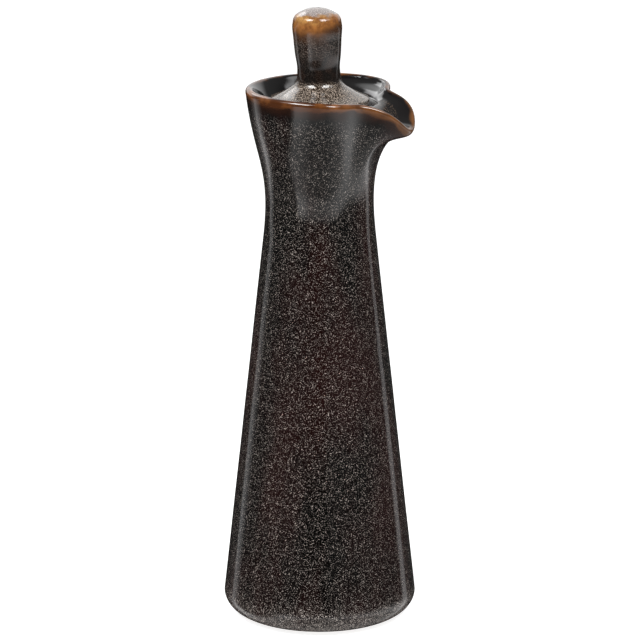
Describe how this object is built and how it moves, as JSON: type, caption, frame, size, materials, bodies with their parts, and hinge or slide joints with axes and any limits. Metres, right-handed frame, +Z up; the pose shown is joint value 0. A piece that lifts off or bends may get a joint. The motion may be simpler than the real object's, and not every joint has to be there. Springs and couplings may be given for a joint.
{
  "type": "stoppered pouring bottle",
  "caption": "Tall conical glazed stoneware sake bottle with a flared mouth, pinched pouring spout and a drop-in knob stopper with a soft seal ring.",
  "frame": {"origin": "on the bottle's axis at the level of the foot ring it stands on", "axes": "+Z up along the bottle's axis, +X towards the pouring spout"},
  "size_m": [0.0704, 0.0704, 0.2246],
  "materials": {
    "bottle_glaze": "glossy near-black brown glaze with fine pale flecks and an amber rim",
    "stopper_glaze": "glossy brown speckled glaze, amber at the knob's shoulder",
    "seal": "satin translucent white silicone"
  },
  "bodies": {
    "bottle": {"bottle": "bottle_glaze"},
    "ring": {"seal_ring": "seal"},
    "stopper": {"stopper": "stopper_glaze"}
  },
  "joints": [
    {"name": "stopper_lift", "type": "slide", "parent": "bottle", "child": "ring", "axis": [0, 0, 1], "range_m": [0, 0.045]},
    {"name": "stopper_twist", "type": "hinge", "parent": "ring", "child": "stopper", "pos_m": [0, 0, 0.19], "axis": [0, 0, 1], "continuous": true}
  ]
}
